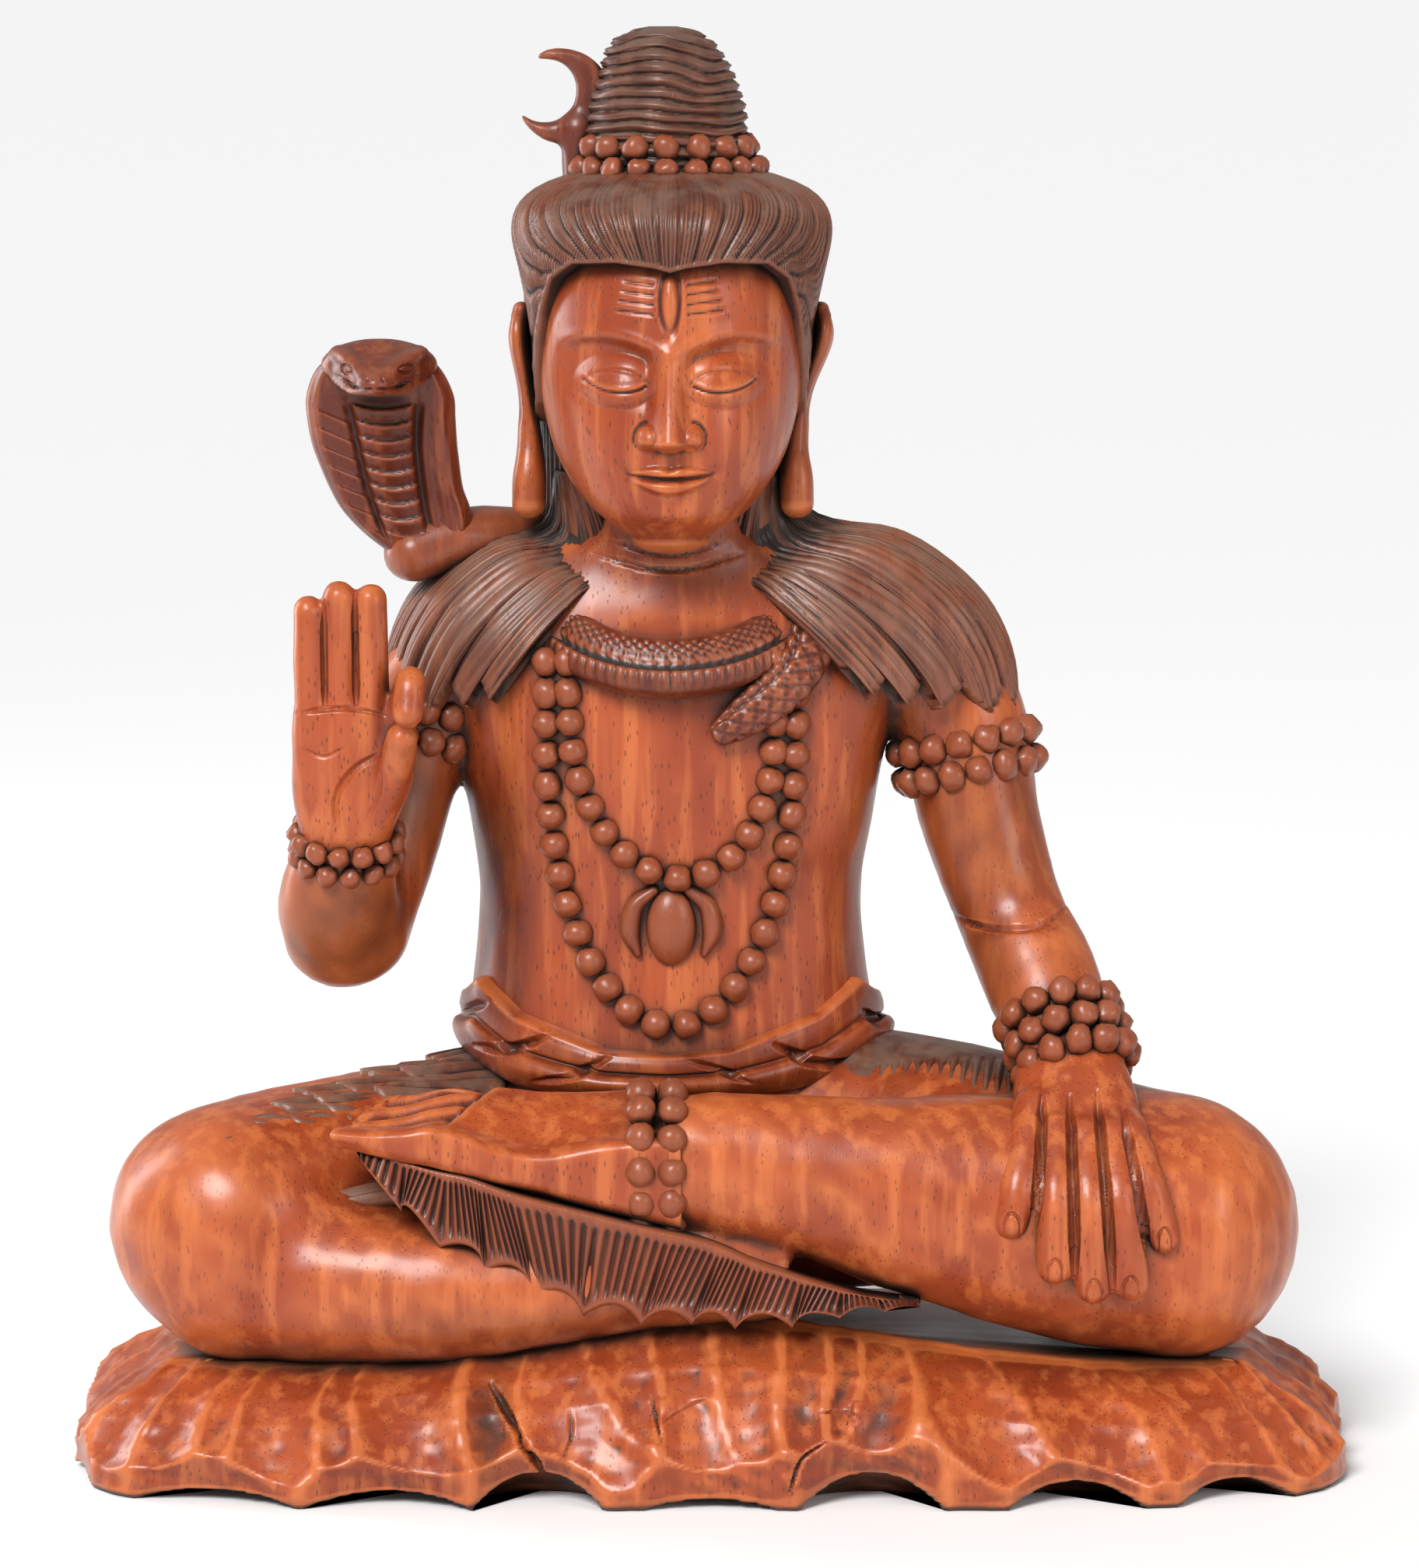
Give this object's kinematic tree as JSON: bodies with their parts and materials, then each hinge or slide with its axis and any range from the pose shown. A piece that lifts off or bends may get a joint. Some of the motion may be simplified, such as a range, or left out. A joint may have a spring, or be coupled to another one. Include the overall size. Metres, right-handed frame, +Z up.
{
  "type": "wooden meditation figure",
  "caption": "Carved wooden figure seated cross-legged on a rocky base, with a raised hand, bead ornaments, a crescent on the hair knot and a cobra on the shoulder.",
  "frame": {"origin": "middle of the underside of the rock base", "axes": "+Z up, the figure faces -Y, +X to the viewer's right"},
  "size_m": [0.3612, 0.1666, 0.4],
  "materials": {
    "varnished_wood": "reddish-brown gloss varnish, with darker stain in the hollows"
  },
  "bodies": {
    "root": {"carved_figure": "varnished_wood"}
  },
  "joints": []
}
